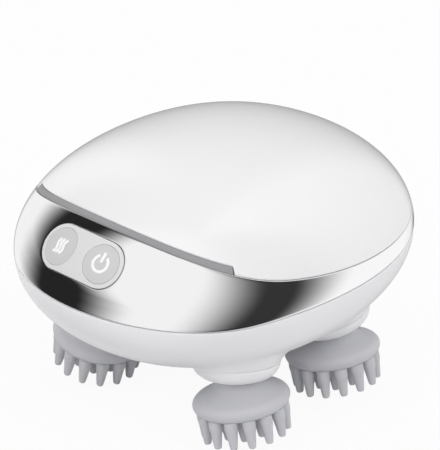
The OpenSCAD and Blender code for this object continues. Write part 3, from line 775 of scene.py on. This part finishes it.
def finger_rows(side, end, ring_r, angle):
    """Rows of one finger: circles on a line that leans outward on the outer ring, with a
    shouldered root, a taper and a blunt tip rounded by a quarter circle."""
    place = at_head(side, end)
    cx, cy = ring_r * math.cos(angle), ring_r * math.sin(angle)
    line = smooth_line(FINGER_PROFILE, 3).tolist()
    tip = [(TIP_R - TIP_ROLL * (1 - math.cos(x)), FINGER_REACH - TIP_ROLL + TIP_ROLL * math.sin(x))
           for x in arc(6)]
    profile = np.array(line[:-1] + tip + [(TIP_FLAT, FINGER_REACH)])
    a = circle_angles(20)
    r, h = profile[:, :1], -profile[:, 1:]
    out = 1 - (FINGER_SPLAY * (1 + h / FINGER_REACH) / ring_r if ring_r == OUTER_RING_R else 0)
    return place(cx * out + r * np.cos(a), cy * out + r * np.sin(a), h + 0 * a)


def head(end_name, side_name):
    """Soft disc with a neck, turned from its outline, and 21 fingers, one moulding."""
    side, end = SIDES[side_name], ENDS[end_name]
    line = smooth_line(HEAD_PROFILE, 5)
    top = [(NECK_R - 0.1, NECK_TOP - 0.08), (NECK_R - 0.3, NECK_TOP), (0.5, NECK_TOP)]
    profile = np.vstack([[(0.5, -DISC_LOW), (5.5, -DISC_LOW), (10.5, -DISC_LOW)], line, top])
    parts = [(lathe(profile, 128, at_head(side, end)), False)]
    for i in range(OUTER_FINGERS):
        parts.append((finger_rows(side, end, OUTER_RING_R, (i + 0.5) * 2 * math.pi / OUTER_FINGERS), False))
    for i in range(INNER_FINGERS):
        parts.append((finger_rows(side, end, INNER_RING_R, i * 2 * math.pi / INNER_FINGERS), False))
    points, faces = joined(parts)
    name = f"head_{end_name}_{side_name}"
    obj = add_mesh(name + "_skin", points, faces, f"{end_name}_{side_name}_head")
    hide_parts(name)
    return obj


# ---------------------------------------------------------------- materials

def linear(code):
    """sRGB hex colour as linear RGBA."""
    values = [int(code[i:i + 2], 16) / 255 for i in (1, 3, 5)]
    return [v / 12.92 if v <= 0.04045 else ((v + 0.055) / 1.055) ** 2.4 for v in values] + [1.0]


def add_node(tree, kind, inputs=None, **settings):
    """One node, with its settings and its inputs; an input is a value or a socket."""
    node = tree.nodes.new(kind)
    for key_name, value in settings.items():
        setattr(node, key_name, value)
    for key_name, value in (inputs or {}).items():
        socket = node.inputs[key_name]
        if isinstance(value, bpy.types.NodeSocket):
            tree.links.new(value, socket)
        else:
            socket.default_value = value
    return node


MOTTLE_MM = 50 / 3          # size of the patches in which a polish varies


def surface(name, colour, roughness, grain_mm=0.0, grain_depth_mm=0.0, mottle=0.0, **shader):
    """Principled material. Its grain is a bump of the given size and depth, drawn as coarse as
    it needs to show; mottle is how much its roughness varies from patch to patch."""
    material = bpy.data.materials.new(name)
    material.use_nodes = True
    tree = material.node_tree
    tree.nodes.clear()
    inputs = {"Base Color": linear(colour), "Roughness": roughness}
    inputs.update(shader)
    place = add_node(tree, "ShaderNodeTexCoord")
    if mottle:
        tone = add_node(tree, "ShaderNodeTexNoise", {"Vector": place.outputs["Object"],
                                                     "Scale": 1 / (MOTTLE_MM * MM), "Detail": 3.0})
        factor = add_node(tree, "ShaderNodeMapRange", {"Value": tone.outputs["Fac"], "From Min": 0.3,
                                                       "From Max": 0.7, "To Min": roughness - mottle,
                                                       "To Max": roughness + mottle})
        inputs["Roughness"] = factor.outputs["Result"]
    if grain_mm:
        grain = add_node(tree, "ShaderNodeTexNoise", {"Vector": place.outputs["Object"],
                                                      "Scale": 1 / (grain_mm * MM), "Detail": 2.0})
        bump = add_node(tree, "ShaderNodeBump", {"Height": grain.outputs["Fac"], "Strength": 1.0,
                                                 "Distance": grain_depth_mm * MM})
        inputs["Normal"] = bump.outputs["Normal"]
    shader_node = add_node(tree, "ShaderNodeBsdfPrincipled", inputs)
    add_node(tree, "ShaderNodeOutputMaterial", {"Surface": shader_node.outputs["BSDF"]})
    return material


FINISHES = {
    # pure white ABS, moulded in a polished tool: soft wide tones under a thin clear gloss
    "white_gloss_plastic": dict(colour="#F1F1F2", roughness=0.16, mottle=0.02,
                                **{"Coat Weight": 0.5, "Coat Roughness": 0.04}),
    # grey polycarbonate from a spark-eroded tool: flat, no highlight
    "grey_trim_plastic": dict(colour="#99999B", roughness=0.55, grain_mm=0.25, grain_depth_mm=0.004),
    # chrome plating on moulded plastic: a clean, slightly grey mirror
    "band_chrome": dict(colour="#FBFBFC", roughness=0.03, Metallic=1.0),
    # white ABS with a satin finish: one broad soft highlight
    "pale_shell_plastic": dict(colour="#EFEFF1", roughness=0.34, grain_mm=0.3, grain_depth_mm=0.002),
    # pale grey ABS of the key panel, satin
    "key_plastic": dict(colour="#DDDDDE", roughness=0.3, mottle=0.03),
    # moulded silicone: dull, with light that goes a little way in at thin places
    "silicone": dict(colour="#C8C8CD", roughness=0.5, grain_mm=0.3, grain_depth_mm=0.003,
                     **{"Subsurface Weight": 0.12, "Subsurface Scale": 0.002}),
    # moulded nitrile rubber: near black, dull
    "seal_rubber": dict(colour="#333335", roughness=0.6),
    # moulded nylon: creamy white, half matt
    "white_nylon": dict(colour="#EAEAE2", roughness=0.45),
    # ground steel: a blurred mirror
    "ground_steel": dict(colour="#B9BBBF", roughness=0.28, Metallic=1.0, mottle=0.06),
    # turned brass: yellow, brighter than the steel
    "brass": dict(colour="#C6A258", roughness=0.25, Metallic=1.0, mottle=0.05),
    # glass-filled nylon: grey with a rough grain
    "chassis_plastic": dict(colour="#73777D", roughness=0.55, grain_mm=0.3, grain_depth_mm=0.006),
    # zinc-plated drawn steel: a dull grey mirror
    "motor_steel": dict(colour="#A9ABAF", roughness=0.35, Metallic=1.0, mottle=0.06),
    # black nylon of switches and connector bodies: half matt
    "dark_plastic": dict(colour="#26272A", roughness=0.5),
    # green lacquer over fibreglass: smooth, with a dim highlight
    "circuit_board": dict(colour="#215C34", roughness=0.35),
    # aluminised foil wrap of the cell: bright and a little uneven
    "battery_wrap": dict(colour="#B4B7BC", roughness=0.3, Metallic=1.0, mottle=0.08),
}
# the key panel's plastic in a greyer tone, on the two caps
CAP_FINISH = dict(colour="#CECECF", roughness=0.34, mottle=0.03)
# white printing ink: plain and half matt
MARK_FINISH = dict(colour="#FFFFFF", roughness=0.4)


def make_materials():
    """One material for every slot of the record."""
    return {slot: surface(slot, **finish) for slot, finish in FINISHES.items()}


def wear(obj, slot, materials):
    """Gives obj the finish of a slot."""
    obj.data.materials.clear()
    obj.data.materials.append(materials[slot])


INNER_SLOTS = (
    ("seal_", "seal_rubber"), ("bush_", "brass"), ("worm_bush", "brass"),
    ("chassis_screws", "ground_steel"), ("board_screws", "ground_steel"), ("chassis", "chassis_plastic"),
    ("axle_", "ground_steel"), ("shaft_", "ground_steel"), ("motor_shaft", "ground_steel"),
    ("motor_can", "motor_steel"), ("motor_end_cap", "dark_plastic"),
    ("mode_switch", "dark_plastic"), ("power_switch", "dark_plastic"),
    ("mode_plunger", "white_nylon"), ("power_plunger", "white_nylon"),
    ("main_board", "circuit_board"), ("key_board", "circuit_board"), ("socket_board", "circuit_board"),
    ("charging_socket", "ground_steel"), ("battery", "battery_wrap"),
    ("hub_", "white_nylon"), ("gear_", "white_nylon"), ("worm_wheel", "white_nylon"), ("worm", "brass"),
)


def dress_inside(materials):
    """Procedural finish of every CAD node that stays as it is, by how its name starts."""
    for name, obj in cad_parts.items():
        found = [slot for start, slot in INNER_SLOTS if name.startswith(start)]
        if found:
            obj.data.materials.clear()
            obj.data.materials.append(materials[found[0]])


# ---------------------------------------------------------------- studio

CAMERA_AZ = math.radians(42.96)
CAMERA_EL = math.radians(27.5)
CAMERA_FAR = 893.5
LENS = 231.5
SHIFT = (0.0097, 0.0135)

# Dark flags that the mirror band sees: the degrees at which each starts, is full, fades and
# ends, counted from the front to the right, and how bright it is
LEFT_FLAG = (-97, -60, -32, 9, 0.02)
RIGHT_FLAG = (35, 86, 100, 138, 0.037)
REAR_FLAG = (-172, -152, -130, -114, 0.3)

# Where the plain light on matt surfaces comes from, as (x, y)
SKY_SIDE = (0.94, -0.34)
FILL_SIDE = (-0.9, -0.43)
FILL_LEVEL = 0.85

FLOOR_HALF = 6.0            # metres
FLOOR_GLOW = 0.93           # share of plain white in the floor; the rest shows the shadow
LAMP_HEIGHT = 1.3
LAMP_SIZE = 0.9
LAMP_POWER = 1.5


def make_camera():
    """Long lens that looks at the middle of the equator."""
    back = np.array([math.sin(CAMERA_AZ) * math.cos(CAMERA_EL),
                     -math.cos(CAMERA_AZ) * math.cos(CAMERA_EL), math.sin(CAMERA_EL)])
    right = np.array([math.cos(CAMERA_AZ), math.sin(CAMERA_AZ), 0])
    up = np.cross(back, right)
    data = bpy.data.cameras.new("camera")
    data.lens = LENS
    data.sensor_width = 36
    data.shift_x, data.shift_y = SHIFT
    data.clip_end = 10
    camera = bpy.data.objects.new("camera", data)
    place = Matrix(np.column_stack([right, up, back]).tolist()).to_4x4()
    place.translation = Vector(((np.array([0, 0, EQ_Z]) + CAMERA_FAR * back) * MM).tolist())
    camera.matrix_world = place
    bpy.context.scene.collection.objects.link(camera)
    bpy.context.scene.camera = camera


def math_node(tree, operation, *inputs):
    """Output of a math node."""
    return add_node(tree, "ShaderNodeMath", dict(enumerate(inputs)), operation=operation).outputs[0]


def ramp(tree, value, start, end, low_value=0.0, high_value=1.0):
    """Smooth step of value, which may fall, from start to end."""
    node = add_node(tree, "ShaderNodeMapRange", {"Value": value, "From Min": start, "From Max": end,
                                                 "To Min": low_value, "To Max": high_value},
                    interpolation_type="SMOOTHSTEP")
    return node.outputs["Result"]


def flag(tree, angle, start, full, fade, end, level):
    """Brightness 1 outside the angles start to end (degrees), level between full and fade."""
    edges = [math.radians(v) for v in (start, full, fade, end)]
    dark = math_node(tree, "MULTIPLY", ramp(tree, angle, edges[0], edges[1]),
                     ramp(tree, angle, edges[3], edges[2]))
    return math_node(tree, "MULTIPLY_ADD", dark, level - 1.0, 1.0)


def studio_mirror(tree, x, y, z):
    """Brightness that glossy surfaces see: nearly white all round, times three dark flags. The
    left flag leans back above and below the horizon, and the right one leans a little."""
    turn = math_node(tree, "ARCTAN2", x, math_node(tree, "MULTIPLY", y, -1.0))
    rise = math_node(tree, "ARCSINE", z)
    above = math_node(tree, "MAXIMUM", math_node(tree, "SUBTRACT", rise, math.radians(5)), 0.0)
    under = math_node(tree, "MAXIMUM", math_node(tree, "SUBTRACT", math.radians(-10), rise), 0.0)
    lean = math_node(tree, "MULTIPLY_ADD", above, 0.93, math_node(tree, "MULTIPLY_ADD", under, 0.35, turn))
    left = flag(tree, lean, *LEFT_FLAG)
    right = flag(tree, math_node(tree, "MULTIPLY_ADD", rise, -0.3, turn), *RIGHT_FLAG)
    behind = flag(tree, turn, *REAR_FLAG)
    flags = math_node(tree, "MULTIPLY", math_node(tree, "MULTIPLY", left, right), behind)
    paper = ramp(tree, turn, math.radians(60), math.radians(140), 0.91, 0.96)
    return math_node(tree, "MULTIPLY", flags, paper)


def studio_fill(tree, x, y, z):
    """Brightness that falls on matt surfaces: a sky that is stronger towards SKY_SIDE and
    overhead and stops above the horizon, and a soft fill from FILL_SIDE."""
    ahead = math_node(tree, "MULTIPLY_ADD", x, SKY_SIDE[0], math_node(tree, "MULTIPLY", y, SKY_SIDE[1]))
    sky = math_node(tree, "MULTIPLY_ADD", ahead, 0.85, ramp(tree, z, 0.7, 0.9, 1.5, 0.3))
    from_sky = math_node(tree, "MULTIPLY", sky, ramp(tree, z, 0.3, 0.5, 0.08, 1.0))
    aside = math_node(tree, "MULTIPLY_ADD", x, FILL_SIDE[0], math_node(tree, "MULTIPLY", y, FILL_SIDE[1]))
    return math_node(tree, "ADD", from_sky, ramp(tree, aside, 0.35, 0.95, 0.0, FILL_LEVEL))


def make_world():
    """White to the camera and through clear pieces; glossy rays see the studio's flags, and
    all other rays the plain light."""
    world = bpy.data.worlds.new("studio")
    bpy.context.scene.world = world
    world.use_nodes = True
    tree = world.node_tree
    tree.nodes.clear()
    place = add_node(tree, "ShaderNodeTexCoord")
    x, y, z = add_node(tree, "ShaderNodeSeparateXYZ", {"Vector": place.outputs["Generated"]}).outputs
    sheen = add_node(tree, "ShaderNodeBackground", {"Color": studio_mirror(tree, x, y, z), "Strength": 1.0})
    soft = add_node(tree, "ShaderNodeBackground", {"Color": studio_fill(tree, x, y, z), "Strength": 1.0})
    white = add_node(tree, "ShaderNodeBackground", {"Color": linear("#FFFFFF"), "Strength": 1.0})
    rays = add_node(tree, "ShaderNodeLightPath").outputs
    light = soft
    for ray, seen in (("Is Glossy Ray", sheen), ("Is Transmission Ray", white), ("Is Camera Ray", white)):
        light = add_node(tree, "ShaderNodeMixShader", {0: rays[ray], 1: light.outputs[0], 2: seen.outputs[0]})
    add_node(tree, "ShaderNodeOutputWorld", {"Surface": light.outputs[0]})


def make_floor():
    """Pale paper under the fingertips, nearly white to the camera, that keeps a faint shadow."""
    size = FLOOR_HALF
    mesh = bpy.data.meshes.new("floor")
    corners = [(-size, -size, 0), (size, -size, 0), (size, size, 0), (-size, size, 0)]
    mesh.from_pydata(corners, [], [(0, 1, 2, 3)])
    floor = bpy.data.objects.new("floor", mesh)
    bpy.context.scene.collection.objects.link(floor)
    material = bpy.data.materials.new("paper_floor")
    material.use_nodes = True
    tree = material.node_tree
    tree.nodes.clear()
    glow = add_node(tree, "ShaderNodeEmission", {"Color": linear("#FFFFFF"), "Strength": 1.0})
    rays = add_node(tree, "ShaderNodeLightPath").outputs
    looked_at = math_node(tree, "MAXIMUM", rays["Is Camera Ray"], rays["Is Transmission Ray"])
    share = math_node(tree, "MULTIPLY", looked_at, FLOOR_GLOW)
    paper = add_node(tree, "ShaderNodeBsdfDiffuse", {"Color": linear("#E8E8E8")})
    mix = add_node(tree, "ShaderNodeMixShader", {0: share, 1: paper.outputs[0], 2: glow.outputs[0]})
    add_node(tree, "ShaderNodeOutputMaterial", {"Surface": mix.outputs[0]})
    floor.data.materials.append(material)
    floor.visible_glossy = False


def make_soft_box():
    """Square lamp overhead that shines straight down, unseen in the mirror band."""
    data = bpy.data.lights.new("soft_box_above", "AREA")
    data.shape = "SQUARE"
    data.size = LAMP_SIZE
    data.energy = LAMP_POWER
    lamp = bpy.data.objects.new("soft_box_above", data)
    lamp.location = (0, 0, LAMP_HEIGHT)
    lamp.visible_glossy = False
    bpy.context.scene.collection.objects.link(lamp)


# ---------------------------------------------------------------- assembly

materials = make_materials()
wear(top_cover(), "white_gloss_plastic", materials)
wear(trim_strip(), "grey_trim_plastic", materials)
wear(chrome_band(), "band_chrome", materials)
for piece in lower_shell():
    wear(piece, "pale_shell_plastic", materials)
for end_name, end in ENDS.items():
    for side_name, side in SIDES.items():
        wear(collar(side, end, f"collar_{end_name}_{side_name}"), "pale_shell_plastic", materials)
        wear(head(end_name, side_name), "silicone", materials)
wear(key_panel(), "key_plastic", materials)
grey_cap = surface("key_cap_plastic", **CAP_FINISH)
for cap in (key("mode_key", -1, "mode_button"), key("power_key", 1, "power_button")):
    cap.data.materials.append(grey_cap)
ink = surface("white_ink", **MARK_FINISH)
for mark in key_marks():
    mark.data.materials.append(ink)
dress_inside(materials)
make_camera()
make_world()
make_floor()
make_soft_box()
bpy.context.scene.view_settings.view_transform = "Standard"
